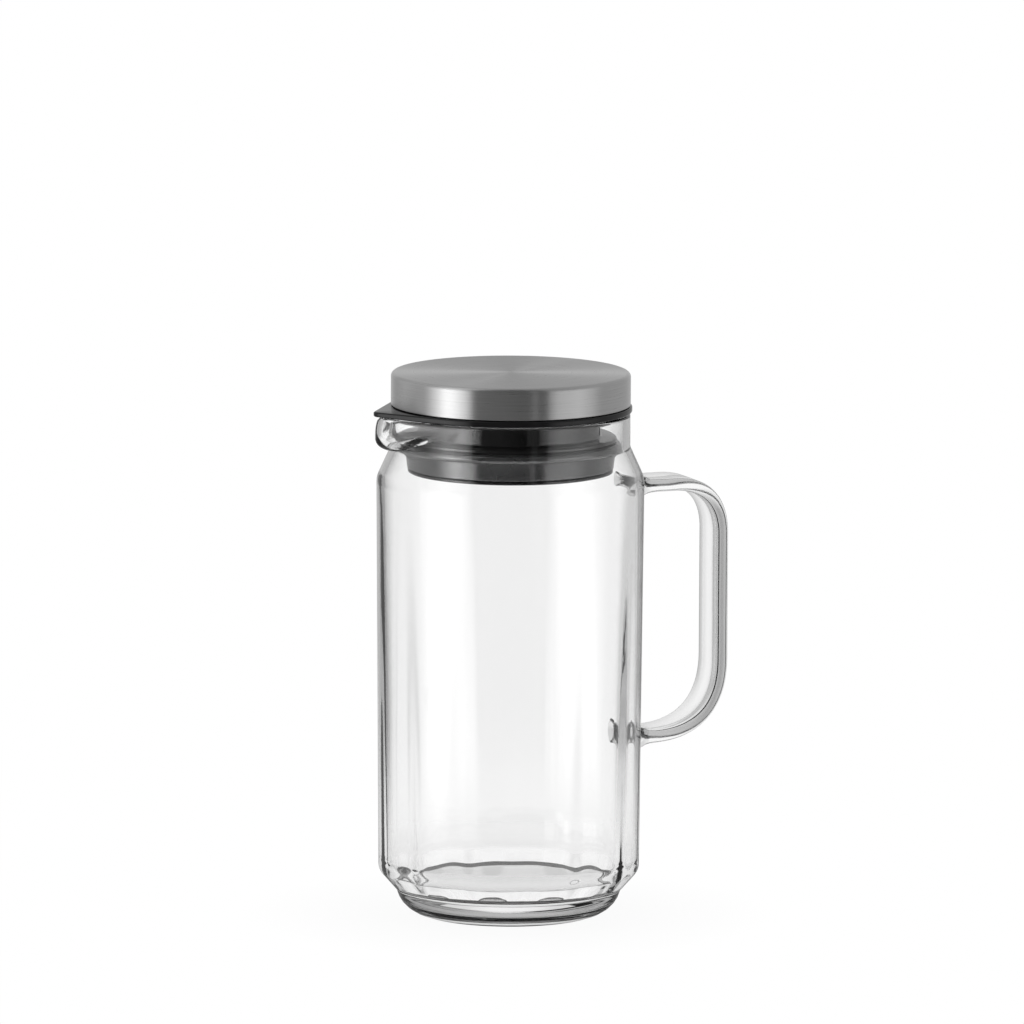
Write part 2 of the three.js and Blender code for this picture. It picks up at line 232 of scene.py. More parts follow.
def spout_share(place):
    """The pinched spout: full at the rim, and rounded off underneath."""
    radius = math.hypot(place.x, place.y)
    if place.x > 0 or place.z < spout_foot or radius < spout_inside:
        return 0.0
    inner = radius < (neck_radius + neck_bore) / 2
    tangent = math.acos((neck_radius - spout_tip) / (spout_reach - spout_tip))
    side = min((math.pi - abs(math.atan2(place.y, place.x))) / tangent, 1)
    start = spout_foot + spout_climb * side + (spout_wall if inner else 0)
    rise = min(max((place.z - start) / spout_round, 0), 1)
    pocket_share = math.sqrt(1 - (1 - rise) ** 2)
    curl = min(max((place.z - spout_waist) / (rim - spout_waist), 0), 1)
    lip_share = 1 - (1 - spout_lip_share) * curl**2
    growth = tongue_growth(place.y, neck_radius, spout_reach, spout_tip)
    thin_wall = 1.0 if inner else spout_thinning
    return thin_wall * pocket_share * lip_share * growth / (spout_reach - neck_radius)


press(jug, "flutes", flute_share, "NORMAL", flute_depth)
press(jug, "spout", spout_share, "X", (neck_radius - spout_reach) / spout_thinning)

# The strap handle, as one run from the upper root to the lower one.
strap_width = 20.0
strap_thickness = 5.0
handle_top = 161.2
handle_foot = 65.6
grip = 82.8
upper_bend = 17.0
lower_bend = 25.0
root = 44.0
flare = [
    (1, 24.6, 10.2), (4.4, 24, 9.6), (6, 22.4, 7.7), (7.6, 21.2, 6.2), (9.6, 20.4, 5.4), (12.4, 20, 5),
]
eased_turn = [(1.6, 12), (1.1, 18), (0.86, 30), (1.1, 18), (1.6, 12)]


def widen(width, thickness, across, deep, height):
    """Gives the strap's selected end a new width and thickness."""
    bpy.ops.transform.resize(
        value=(1, across / width, deep / thickness), center_override=(0, 0, height * mm)
    )


def reach_out(stride):
    """Draws the strap's selected end out by a stride in millimetres."""
    bpy.ops.mesh.extrude_region_move(TRANSFORM_OT_translate={"value": Vector(stride) * mm})


bpy.ops.object.select_all(action="DESELECT")
bpy.ops.mesh.primitive_circle_add(
    vertices=40,
    radius=strap_thickness / 2 * mm,
    location=(root * mm, 0, handle_top * mm),
    rotation=(0, math.pi / 2, 0),
)
handle = bpy.context.object
handle.name = "strap_handle"
bpy.ops.object.transform_apply(location=True, rotation=True, scale=True)
bpy.ops.object.mode_set(mode="EDIT")
half_flat = (strap_width - strap_thickness) / 2
choose(handle, lambda place: place.y > 0.01)
bpy.ops.transform.translate(value=(0, half_flat * mm, 0))
choose(handle, lambda place: place.y < -0.01)
bpy.ops.transform.translate(value=(0, -half_flat * mm, 0))
bpy.ops.mesh.select_all(action="SELECT")
width, thickness = strap_width, strap_thickness
along = root
for step, (distance, across, deep) in enumerate(flare):
    if step:
        reach_out((root + distance - along, 0, 0))
    else:
        bpy.ops.transform.translate(value=((root + distance - along) * mm, 0, 0))
    along = root + distance
    widen(width, thickness, across, deep, handle_top)
    width, thickness = across, deep


def turn_room(radius):
    """How far before its corner a turn of the strap begins."""
    room = 0
    heading = 0
    for share, degrees in eased_turn:
        before = math.sin(math.radians(heading))
        after = math.sin(math.radians(heading + degrees))
        room += radius * share * (after - before)
        heading += degrees
    return room


def turn_strap(x, z, heading, radius):
    """Turns the strap's end through a right angle, gently at first and tighter in the middle."""
    for share, degrees in eased_turn:
        bend = radius * share
        before = math.radians(heading)
        after = math.radians(heading + degrees)
        centre_x = x - bend * math.sin(before)
        centre_z = z - bend * math.cos(before)
        bpy.ops.mesh.spin(
            steps=degrees // 3,
            angle=-math.radians(degrees),
            center=(centre_x * mm, 0, centre_z * mm),
            axis=(0, 1, 0),
        )
        x = centre_x + bend * math.sin(after)
        z = centre_z + bend * math.cos(after)
        heading += degrees


upper_room = turn_room(upper_bend)
lower_room = turn_room(lower_bend)
reach_out((grip - upper_room - along, 0, 0))
turn_strap(grip - upper_room, handle_top, 0, upper_bend)
straight = handle_top - upper_room - handle_foot - lower_room
straight_parts = 6
for _ in range(straight_parts):
    reach_out((0, 0, -straight / straight_parts))
turn_strap(grip, handle_foot + lower_room, 90, lower_bend)
along = grip - lower_room
for distance, across, deep in reversed(flare):
    reach_out((root + distance - along, 0, 0))
    along = root + distance
    widen(width, thickness, across, deep, handle_foot)
    width, thickness = across, deep
bpy.ops.mesh.edge_face_add()
choose(handle, lambda place: place.x < root + 1.1 and place.z > 100)
bpy.ops.mesh.edge_face_add()
close_up(handle)
core_radius = 48.0
bpy.ops.object.select_all(action="DESELECT")
bpy.ops.mesh.primitive_cylinder_add(vertices=jug_steps, radius=core_radius * mm, depth=2 * rim * mm)
wall_core = bpy.context.object
join_or_cut(handle, wall_core, "DIFFERENCE")
join_or_cut(jug, handle, "UNION")


def smooth(piece, angle=35):
    """Shades a piece smooth, with edges left sharp where they turn by more than an angle."""
    bpy.ops.object.select_all(action="DESELECT")
    piece.select_set(True)
    bpy.context.view_layer.objects.active = piece
    bpy.ops.object.shade_smooth_by_angle(angle=math.radians(angle))


smooth(jug, 40)


def new_finish(name):
    """A material with its surface shader, its nodes and its links."""
    material = bpy.data.materials.new(name)
    material.use_nodes = True
    nodes = material.node_tree.nodes
    return material, nodes["Principled BSDF"], nodes, material.node_tree.links


def noise(nodes, scale, detail=3.0, roughness=0.5):
    """A cloudy pattern of 0 to 1."""
    texture = nodes.new("ShaderNodeTexNoise")
    texture.inputs["Scale"].default_value = scale
    texture.inputs["Detail"].default_value = detail
    texture.inputs["Roughness"].default_value = roughness
    return texture


def spread(nodes, links, source, low, high):
    """Spreads a pattern of 0 to 1 over a range of values."""
    node = nodes.new("ShaderNodeMapRange")
    links.new(source, node.inputs["Value"])
    node.inputs["To Min"].default_value = low
    node.inputs["To Max"].default_value = high
    return node.outputs["Result"]


def raise_grain(nodes, links, surface, source, strength, height):
    """Lets a pattern lift the surface by a height in millimetres."""
    bump = nodes.new("ShaderNodeBump")
    bump.inputs["Strength"].default_value = strength
    bump.inputs["Distance"].default_value = height * mm
    links.new(source, bump.inputs["Height"])
    links.new(bump.outputs["Normal"], surface.inputs["Normal"])


# Clear glass with the faint waves that pressing leaves, and a grey body seen through its thick parts.
clear_glass, surface, nodes, links = new_finish("clear_glass")
surface.inputs["Base Color"].default_value = (1, 1, 1, 1)
surface.inputs["Transmission Weight"].default_value = 1.0
surface.inputs["IOR"].default_value = 1.47
place = nodes.new("ShaderNodeTexCoord")
waves = noise(nodes, 34, 1.5)
links.new(place.outputs["Object"], waves.inputs["Vector"])
links.new(spread(nodes, links, waves.outputs["Fac"], 0.0, 0.02), surface.inputs["Roughness"])
raise_grain(nodes, links, surface, waves.outputs["Fac"], 0.35, 0.5)
depth = nodes.new("ShaderNodeVolumeAbsorption")
depth.inputs["Color"].default_value = (0.2, 0.2, 0.2, 1)
depth.inputs["Density"].default_value = 1.5
links.new(depth.outputs["Volume"], nodes["Material Output"].inputs["Volume"])
jug.data.materials.clear()
jug.data.materials.append(clear_glass)

# The corner round the floor shows as a dark line on the real jug, where the light bends through it. A dark
# grey tint on these faces of the glass stands in for it: painted shade.
edge_low = floor_top - 0.3
edge_high = floor_top + 1.75
edge_inside = well_radius - 1.4
edge_outside = well_radius + 2
edge_shade_glass = clear_glass.copy()
edge_shade_glass.name = "floor_edge_painted_shade"
edge_shade_surface = edge_shade_glass.node_tree.nodes["Principled BSDF"]
# Painted shade: the dark grey that tints the glass of the floor's corner.
edge_shade_surface.inputs["Base Color"].default_value = (0.045, 0.045, 0.045, 1)
jug.data.materials.append(edge_shade_glass)
bpy.ops.object.mode_set(mode="EDIT")
choose(
    jug,
    lambda place: edge_low < place.z < edge_high
    and edge_inside < math.hypot(place.x, place.y) < edge_outside,
)
jug.active_material_index = 1
bpy.ops.object.material_slot_assign()
bpy.ops.object.mode_set(mode="OBJECT")
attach(jug, "pitcher")
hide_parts("glass_body", "glass_handle")


# The seal ring.
# A collar of dark grey silicone, moulded in one with a round bead that wipes the neck's bore and a skirt
# under it. It sits in the plug's groove, slides up and down with the lid and lets the lid turn in it.
seal_bottom = 169.8
seal_top = 180.4
seal_bore = 37.5
lip_radius = 38.6
bead_root = 39.6
bead_height = 178.5
bead_reach = 2.3
bead_half = 1.9
bead = []
for k in range(13):
    angle = math.radians(-90 + 15 * k)
    bead.append(
        (bead_root + bead_reach * math.cos(angle), bead_height + bead_half * math.sin(angle), 0)
    )
seal_profile = round_corners(
    [(seal_bore, seal_bottom + 1, 0), (seal_bore, seal_bottom, 0.3), (lip_radius, seal_bottom, 0.4)]
    + [(38.9, 172.4, 0), (39.3, 175.0, 0)]
    + bead
    + [(seal_bore, seal_top, 0.4), (seal_bore, seal_bottom + 1, 0)]
)
seal = turn_on_axis("neck_seal", seal_profile, 180)
smooth(seal)

grey_silicone, surface, nodes, links = new_finish("grey_silicone")
surface.inputs["Specular IOR Level"].default_value = 1.0
surface.inputs["IOR"].default_value = 1.75
place = nodes.new("ShaderNodeTexCoord")
grain = noise(nodes, 2600, 2)
links.new(place.outputs["Object"], grain.inputs["Vector"])
bloom = noise(nodes, 60, 3)
links.new(place.outputs["Object"], bloom.inputs["Vector"])
tone = nodes.new("ShaderNodeValToRGB")
tone.color_ramp.elements[0].color = (0.046, 0.047, 0.048, 1)
tone.color_ramp.elements[1].color = (0.064, 0.065, 0.066, 1)
links.new(bloom.outputs["Fac"], tone.inputs["Fac"])
links.new(tone.outputs["Color"], surface.inputs["Base Color"])
links.new(spread(nodes, links, bloom.outputs["Fac"], 0.07, 0.13), surface.inputs["Roughness"])
raise_grain(nodes, links, surface, grain.outputs["Fac"], 0.25, 0.02)
seal.data.materials.clear()
seal.data.materials.append(grey_silicone)
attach(seal, "seal")
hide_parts("seal_ring")


# The plug.
# A hollow cup of glossy black plastic in the neck: a throat under the gasket, a flange over the seal, a
# groove that holds it and a thin foot lip. Five slots at the back let the drink out once the lid is turned.
flange_radius = 39.8
throat_radius = 33.5
seat_radius = 37.2
hollow_radius = 31.5
mouth_radius = 35.2
mouth_top = 180.1
foot_lip_radius = 38.4
groove_low = 169.5
plug_bottom = 168.3
plate_bottom = 188.5
flange_low = 180.7
flange_high = 182.1
plug_profile = round_corners(
    [(0, plate_bottom, 0), (28, plate_bottom, 0), (hollow_radius, plate_bottom, 0.8)]
    + [(hollow_radius, mouth_top, 0.5), (mouth_radius, mouth_top, 0.5), (mouth_radius, plug_bottom, 0.3)]
    + [(foot_lip_radius, plug_bottom, 0.5), (foot_lip_radius, groove_low, 0.4)]
    + [(seat_radius, groove_low, 0.3), (seat_radius, flange_low, 0.3), (flange_radius, flange_low, 0.4)]
    + [(flange_radius, flange_high, 0.6), (throat_radius, flange_high, 1.0), (throat_radius, 184.5, 0)]
    + [(throat_radius, 189, 0), (throat_radius, rim, 0.4), (30, rim, 0), (0, rim, 0)]
)
plug = turn_on_axis("pouring_plug", plug_profile, 180)
slot_count = 5
slot_width = 5.6
slot_bar = 2.6
slot_low = 182.9
slot_high = 188.2
slot_cut = 6
slot_round = 1.0
pitch = (slot_width + slot_bar) / throat_radius
for k in range(slot_count):
    turn = (k - (slot_count - 1) / 2) * pitch
    out = (throat_radius - 1) * mm
    bpy.ops.object.select_all(action="DESELECT")
    bpy.ops.mesh.primitive_cube_add(
        size=1,
        location=(out * math.cos(turn), out * math.sin(turn), (slot_low + slot_high) / 2 * mm),
        rotation=(0, 0, turn),
        scale=(slot_cut * mm, slot_width * mm, (slot_high - slot_low) * mm),
    )
    slot_tool = bpy.context.object
    bpy.ops.object.transform_apply(location=True, rotation=True, scale=True)
    bpy.ops.object.mode_set(mode="EDIT")
    bpy.ops.mesh.select_all(action="SELECT")
    bpy.ops.mesh.bevel(offset=slot_round * mm, segments=4, affect="EDGES")
    bpy.ops.object.mode_set(mode="OBJECT")
    join_or_cut(plug, slot_tool, "DIFFERENCE")
smooth(plug)

black_plastic, surface, nodes, links = new_finish("black_plastic")
surface.inputs["Specular IOR Level"].default_value = 1.0
place = nodes.new("ShaderNodeTexCoord")
flow = noise(nodes, 45, 3)
links.new(place.outputs["Object"], flow.inputs["Vector"])
skin = noise(nodes, 900, 2)
links.new(place.outputs["Object"], skin.inputs["Vector"])
tone = nodes.new("ShaderNodeValToRGB")
tone.color_ramp.elements[0].color = (0.0035, 0.0035, 0.0037, 1)
tone.color_ramp.elements[1].color = (0.006, 0.006, 0.0062, 1)
links.new(flow.outputs["Fac"], tone.inputs["Fac"])
links.new(tone.outputs["Color"], surface.inputs["Base Color"])
links.new(spread(nodes, links, flow.outputs["Fac"], 0.02, 0.06), surface.inputs["Roughness"])
raise_grain(nodes, links, surface, skin.outputs["Fac"], 0.1, 0.02)
plug.data.materials.clear()
plug.data.materials.append(black_plastic)
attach(plug, "lid")
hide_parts("lid_plug")


# The core of the cap.
# A dished plate of grey plastic with three screw posts, pressed up inside the steel cap. The cap, the gasket
# and the plug enclose it, so the solid keeps its own shape and takes the speckle of moulded plastic.
grey_plastic, surface, nodes, links = new_finish("grey_plastic")
place = nodes.new("ShaderNodeTexCoord")
speckle = noise(nodes, 700, 4)
links.new(place.outputs["Object"], speckle.inputs["Vector"])
tone = nodes.new("ShaderNodeValToRGB")
tone.color_ramp.elements[0].color = (0.055, 0.056, 0.058, 1)
tone.color_ramp.elements[1].color = (0.085, 0.086, 0.089, 1)
links.new(speckle.outputs["Fac"], tone.inputs["Fac"])
links.new(tone.outputs["Color"], surface.inputs["Base Color"])
links.new(spread(nodes, links, speckle.outputs["Fac"], 0.42, 0.6), surface.inputs["Roughness"])
raise_grain(nodes, links, surface, speckle.outputs["Fac"], 0.2, 0.03)
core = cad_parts["cap_insert"]
core.data.materials.clear()
core.data.materials.append(grey_plastic)


# The three lid screws.
# Small pan head screws of plain steel with a cross recess, driven from below through the plug's plate into
# the posts of the core. One is modelled and copied to the other two posts.
post_circle = 18.7
head_low = 186.4
head_high = 188.2
head_radius = 3.0
shank_radius = 1.5
shank_top = 200.0
recess_length = 3.6
recess_width = 0.9
recess_depth = 2
recess_taper = 0.55
screw_profile = round_corners(
    [(0, head_low, 0), (1.6, head_low, 0), (2.5, head_low + 0.2, 0.8), (head_radius, head_low + 0.9, 0.4)]
    + [(head_radius, head_high, 0.15), (shank_radius, head_high, 0.15), (shank_radius, shank_top - 1.2, 0)]
    + [(0.5, shank_top, 0.2), (0, shank_top, 0)]
)
screw = turn_on_axis("lid_fixing_1", screw_profile, 48)
for quarter in (0, 1):
    bpy.ops.object.select_all(action="DESELECT")
    bpy.ops.mesh.primitive_cube_add(
        size=1,
        location=(0, 0, head_low * mm),
        rotation=(0, 0, quarter * math.pi / 2),
        scale=(recess_length * mm, recess_width * mm, recess_depth * mm),
    )
    recess = bpy.context.object
    bpy.ops.object.transform_apply(location=True, rotation=True, scale=True)
    bpy.ops.object.mode_set(mode="EDIT")
    choose(recess, lambda place: place.z > head_low)
    bpy.ops.transform.resize(value=(recess_taper, recess_taper, 1), center_override=(0, 0, 0))
    bpy.ops.object.mode_set(mode="OBJECT")
    join_or_cut(screw, recess, "DIFFERENCE")
smooth(screw)

screw_steel, surface, nodes, links = new_finish("screw_steel")
surface.inputs["Metallic"].default_value = 1.0
place = nodes.new("ShaderNodeTexCoord")
scuff = noise(nodes, 900, 4)
links.new(place.outputs["Object"], scuff.inputs["Vector"])
tone = nodes.new("ShaderNodeValToRGB")
tone.color_ramp.elements[0].color = (0.30, 0.30, 0.31, 1)
tone.color_ramp.elements[1].color = (0.46, 0.46, 0.47, 1)
links.new(scuff.outputs["Fac"], tone.inputs["Fac"])
links.new(tone.outputs["Color"], surface.inputs["Base Color"])
links.new(spread(nodes, links, scuff.outputs["Fac"], 0.24, 0.42), surface.inputs["Roughness"])
screw.data.materials.clear()
screw.data.materials.append(screw_steel)
screws = [screw]
for number in (2, 3):
    bpy.ops.object.select_all(action="DESELECT")
    screw.select_set(True)
    bpy.context.view_layer.objects.active = screw
    bpy.ops.object.duplicate()
    copy = bpy.context.object
    copy.name = f"lid_fixing_{number}"
    screws.append(copy)
for number, fixing in enumerate(screws):
    angle = number * 2 * math.pi / 3
    bpy.ops.object.select_all(action="DESELECT")
    fixing.select_set(True)
    bpy.context.view_layer.objects.active = fixing
    fixing.location = (post_circle * math.cos(angle) * mm, post_circle * math.sin(angle) * mm, 0)
    bpy.ops.object.transform_apply(location=True, rotation=True, scale=True)
    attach(fixing, "lid")
    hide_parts(f"lid_screw_{number + 1}")


# The rim gasket.
# A flat ring of black silicone between the cap and the glass rim, cut with a pointed tongue that lies over
# the spout and thins out towards its tip. Turning the lid moves the tongue off the spout.
gasket_low = 191.2
gasket_high = 193.5
gasket_radius = 45.6
gasket_bore = 26.5
tongue_tip = 55.1
tongue_round = 3.0
tongue_edge = 0.4
tongue_root = 44.8
gasket_profile = round_corners(
    [(gasket_bore, 192.2, 0), (gasket_bore, gasket_low, 0.3), (39, gasket_low, 0), (42, gasket_low, 0)]
    + [(44.4, gasket_low, 0), (gasket_radius, gasket_low, 0.6), (gasket_radius, gasket_high, 0.6)]
    + [(44.4, gasket_high, 0), (42, gasket_high, 0), (39, gasket_high, 0)]
    + [(gasket_bore, gasket_high, 0.3), (gasket_bore, 192.2, 0)]
)
gasket = turn_on_axis("spout_gasket", gasket_profile, 240)


def tongue_share(place):
    """How far a point of the gasket's edge is drawn out to the tongue."""
    radius = math.hypot(place.x, place.y)
    if place.x > 0 or radius < tongue_root:
        return 0.0
    growth = tongue_growth(place.y * gasket_radius / radius, gasket_radius, tongue_tip, tongue_round)
    return growth / (tongue_tip - gasket_radius)


def thin_share(place):
    """How far the underside of the tongue has risen towards its tip."""
    if place.z > (gasket_low + gasket_high) / 2:
        return 0.0
    return min(max((-place.x - gasket_radius + 1) / (tongue_tip - gasket_radius), 0), 1)


press(gasket, "tongue", tongue_share, "X", gasket_radius - tongue_tip)
press(gasket, "tongue_edge", thin_share, "Z", tongue_edge)
smooth(gasket)

black_silicone, surface, nodes, links = new_finish("black_silicone")
surface.inputs["Specular IOR Level"].default_value = 0.3
place = nodes.new("ShaderNodeTexCoord")
grain = noise(nodes, 2200, 2)
links.new(place.outputs["Object"], grain.inputs["Vector"])
bloom = noise(nodes, 90, 3)
links.new(place.outputs["Object"], bloom.inputs["Vector"])
tone = nodes.new("ShaderNodeValToRGB")
tone.color_ramp.elements[0].color = (0.006, 0.006, 0.0065, 1)
tone.color_ramp.elements[1].color = (0.011, 0.011, 0.0115, 1)
links.new(bloom.outputs["Fac"], tone.inputs["Fac"])
links.new(tone.outputs["Color"], surface.inputs["Base Color"])
links.new(spread(nodes, links, bloom.outputs["Fac"], 0.08, 0.14), surface.inputs["Roughness"])
raise_grain(nodes, links, surface, grain.outputs["Fac"], 0.1, 0.01)
gasket.data.materials.clear()
gasket.data.materials.append(black_silicone)
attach(gasket, "lid")
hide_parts("rim_gasket")


# The steel cap.
# A shallow cap pressed from stainless sheet, with a flat top, a small rounded edge and a straight side. It
# was brushed while it turned, so fine rings run round the top and lines run round the side.
cap_low = 193.8
cap_high = 205.9
cap_radius = 45.0
cap_sheet = 0.8
cap_edge = 1.5
cap_ceiling = cap_high - cap_sheet
cap_inner = cap_radius - cap_sheet
cap_profile = round_corners(
    [(0, cap_ceiling, 0), (40, cap_ceiling, 0), (42, cap_ceiling, 0)]
    + [(cap_inner, cap_ceiling, cap_edge - cap_sheet), (cap_inner, 203.4, 0), (cap_inner, 194.4, 0)]
    + [(cap_inner, cap_low, 0.2), (cap_radius, cap_low, 0.35), (cap_radius, 194.8, 0)]
    + [(cap_radius, 203.8, 0), (cap_radius, cap_high, cap_edge), (42.6, cap_high, 0)]
    + [(40, cap_high, 0), (30, cap_high, 0), (15, cap_high, 0), (0, cap_high, 0)]
)
cap = turn_on_axis("brushed_cap", cap_profile, 240)
smooth(cap)

brushed_steel, surface, nodes, links = new_finish("brushed_steel")
surface.inputs["Metallic"].default_value = 0.9
surface.inputs["Anisotropic"].default_value = 1.0
surface.inputs["Anisotropic Rotation"].default_value = 0.25
grain_way = nodes.new("ShaderNodeTangent")
grain_way.direction_type = "RADIAL"
grain_way.axis = "Z"
links.new(grain_way.outputs["Tangent"], surface.inputs["Tangent"])
place = nodes.new("ShaderNodeTexCoord")
split = nodes.new("ShaderNodeSeparateXYZ")
links.new(place.outputs["Object"], split.inputs["Vector"])
flat = nodes.new("ShaderNodeCombineXYZ")
links.new(split.outputs["X"], flat.inputs["X"])
links.new(split.outputs["Y"], flat.inputs["Y"])
ring = nodes.new("ShaderNodeVectorMath")
ring.operation = "LENGTH"
links.new(flat.outputs["Vector"], ring.inputs[0])
around = nodes.new("ShaderNodeMath")
around.operation = "ARCTAN2"
links.new(split.outputs["Y"], around.inputs[0])
links.new(split.outputs["X"], around.inputs[1])
slow = nodes.new("ShaderNodeMath")
slow.operation = "MULTIPLY"
slow.inputs[1].default_value = 0.0006
links.new(around.outputs["Value"], slow.inputs[0])
lines = nodes.new("ShaderNodeCombineXYZ")
links.new(ring.outputs["Value"], lines.inputs["X"])
links.new(slow.outputs["Value"], lines.inputs["Y"])
links.new(split.outputs["Z"], lines.inputs["Z"])
brush = noise(nodes, 2400, 4, 0.6)
links.new(lines.outputs["Vector"], brush.inputs["Vector"])
tone = nodes.new("ShaderNodeValToRGB")
tone.color_ramp.elements[0].position = 0.25
tone.color_ramp.elements[0].color = (0.50, 0.50, 0.50, 1)
tone.color_ramp.elements[1].position = 0.75
tone.color_ramp.elements[1].color = (0.62, 0.62, 0.62, 1)
links.new(brush.outputs["Fac"], tone.inputs["Fac"])
links.new(tone.outputs["Color"], surface.inputs["Base Color"])
links.new(spread(nodes, links, brush.outputs["Fac"], 0.24, 0.34), surface.inputs["Roughness"])
raise_grain(nodes, links, surface, brush.outputs["Fac"], 0.12, 0.01)
cap.data.materials.clear()
cap.data.materials.append(brushed_steel)
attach(cap, "lid")
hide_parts("steel_cap")


# The studio.
# A pale floor that stays white in the picture and keeps a soft shadow. Near the jug its glow is turned down,
# so the floor is darker there, most of all as seen through the glass: partly the real shadow, partly painted
# shade.
# A tall soft lamp at the left and a broader, weaker one at the right. The world holds what steel and glass
# mirror:
# lamps, walls, a dark front.
camera_turn = math.radians(-22)
toward_camera = Vector((math.sin(camera_turn), -math.cos(camera_turn), 0))
rightward = Vector((math.cos(camera_turn), math.sin(camera_turn), 0))
floor_radius = 0.45
floor_fade = 0.12

bpy.ops.object.select_all(action="DESELECT")
bpy.ops.mesh.primitive_circle_add(vertices=96, radius=floor_radius, fill_type="NGON")
floor = bpy.context.object
floor.name = "floor"
floor_paint = bpy.data.materials.new("pale_floor")
floor_paint.use_nodes = True
nodes = floor_paint.node_tree.nodes
links = floor_paint.node_tree.links
nodes.clear()
output = nodes.new("ShaderNodeOutputMaterial")
matt = nodes.new("ShaderNodeBsdfDiffuse")
matt.inputs["Color"].default_value = (0.55, 0.55, 0.55, 1)
glow = nodes.new("ShaderNodeEmission")
glow.inputs["Color"].default_value = (1, 1, 1, 1)
path = nodes.new("ShaderNodeLightPath")
place = nodes.new("ShaderNodeTexCoord")
distance = nodes.new("ShaderNodeVectorMath")
distance.operation = "LENGTH"
links.new(place.outputs["Object"], distance.inputs[0])


def white_share(ray, near, far, near_share):
    """How much of the floor's own white a kind of ray sees, from near the jug to far from it; less near it,
    which paints shade.
    """
    fade = nodes.new("ShaderNodeMapRange")
    fade.inputs["From Min"].default_value = near
    fade.inputs["From Max"].default_value = far
    fade.inputs["To Min"].default_value = near_share
    fade.inputs["To Max"].default_value = 1.0
    links.new(distance.outputs["Value"], fade.inputs["Value"])
    share = nodes.new("ShaderNodeMath")
    share.operation = "MULTIPLY"
    links.new(fade.outputs["Result"], share.inputs[0])
    links.new(path.outputs[ray], share.inputs[1])
    return share.outputs["Value"]


# Painted shade round the jug: the glow is weaker near it, for the camera and more so for rays through the
# glass, so the darker matt floor and its real shadow show there.
whole = nodes.new("ShaderNodeMath")
whole.operation = "ADD"
links.new(white_share("Is Camera Ray", 0.042, 0.1, 0.95), whole.inputs[0])
links.new(white_share("Is Transmission Ray", 0.06, 0.42, 0.82), whole.inputs[1])
blend = nodes.new("ShaderNodeMixShader")
links.new(whole.outputs["Value"], blend.inputs["Fac"])
links.new(matt.outputs["BSDF"], blend.inputs[1])
links.new(glow.outputs["Emission"], blend.inputs[2])
edge = nodes.new("ShaderNodeMapRange")
edge.interpolation_type = "SMOOTHSTEP"
edge.inputs["From Min"].default_value = floor_fade
edge.inputs["From Max"].default_value = floor_radius - 0.02
links.new(distance.outputs["Value"], edge.inputs["Value"])
clear = nodes.new("ShaderNodeBsdfTransparent")
faded = nodes.new("ShaderNodeMixShader")
links.new(edge.outputs["Result"], faded.inputs["Fac"])
links.new(blend.outputs["Shader"], faded.inputs[1])
links.new(clear.outputs["BSDF"], faded.inputs[2])
links.new(faded.outputs["Shader"], output.inputs["Surface"])
floor.data.materials.append(floor_paint)


def soft_lamp(name, side, distance, width, height, lift, brightness):
    """A soft lamp at an angle from the camera's direction, facing the jug."""
    lamp = bpy.data.lights.new(name, "AREA")
    lamp.shape = "RECTANGLE"
    lamp.size = width
    lamp.size_y = height
    lamp.energy = brightness * math.pi * width * height
    stand = bpy.data.objects.new(name, lamp)
    bpy.context.scene.collection.objects.link(stand)
    angle = math.radians(side)
    way = toward_camera * math.cos(angle) + rightward * math.sin(angle)
    stand.location = way * distance + Vector((0, 0, lift))
    stand.rotation_euler = (-way).to_track_quat("-Z", "Y").to_euler()
    stand.visible_camera = False
    stand.visible_glossy = False
    stand.visible_transmission = False


soft_lamp("left_softbox", -62, 0.95, 0.54, 1.0, 0.5, 1.9)
soft_lamp("right_softbox", 68, 0.95, 1.0, 0.8, 0.4, 0.5)

world = bpy.data.worlds.new("studio")
bpy.context.scene.world = world
world.use_nodes = True
nodes = world.node_tree.nodes
links = world.node_tree.links
nodes.clear()
output = nodes.new("ShaderNodeOutputWorld")
path = nodes.new("ShaderNodeLightPath")
place = nodes.new("ShaderNodeTexCoord")
to_camera = nodes.new("ShaderNodeMapping")
to_camera.inputs["Rotation"].default_value = (0, 0, -camera_turn)
links.new(place.outputs["Generated"], to_camera.inputs["Vector"])
split = nodes.new("ShaderNodeSeparateXYZ")
links.new(to_camera.outputs["Vector"], split.inputs["Vector"])
front = nodes.new("ShaderNodeMath")
front.operation = "MULTIPLY"
front.inputs[1].default_value = -1
links.new(split.outputs["Y"], front.inputs[0])
around = nodes.new("ShaderNodeMath")
around.operation = "ARCTAN2"
links.new(split.outputs["X"], around.inputs[0])
links.new(front.outputs["Value"], around.inputs[1])
turn = nodes.new("ShaderNodeMapRange")
turn.inputs["From Min"].default_value = -math.pi
turn.inputs["From Max"].default_value = math.pi
links.new(around.outputs["Value"], turn.inputs["Value"])


def walls(levels):
    """The brightness of the studio's walls, by the angle from the camera's direction."""
    ramp = nodes.new("ShaderNodeValToRGB")
    elements = ramp.color_ramp.elements
    for index, (degrees, level) in enumerate(levels):
        position = degrees / 360 + 0.5
        element = elements[index] if index < 2 else elements.new(position)
        element.position = position
        element.color = (level, level, level, 1)
    links.new(turn.outputs["Result"], ramp.inputs["Fac"])
    return ramp.outputs["Color"]


def choice(factor, first, second):
    """One colour or another, by a factor of 0 or 1."""
    node = nodes.new("ShaderNodeMix")
    node.data_type = "RGBA"
    links.new(factor, node.inputs["Factor"])
    for slot, colour in ((6, first), (7, second)):
        if isinstance(colour, float):
            node.inputs[slot].default_value = (colour, colour, colour, 1)
        else:
            links.new(colour, node.inputs[slot])
    return node.outputs[2]


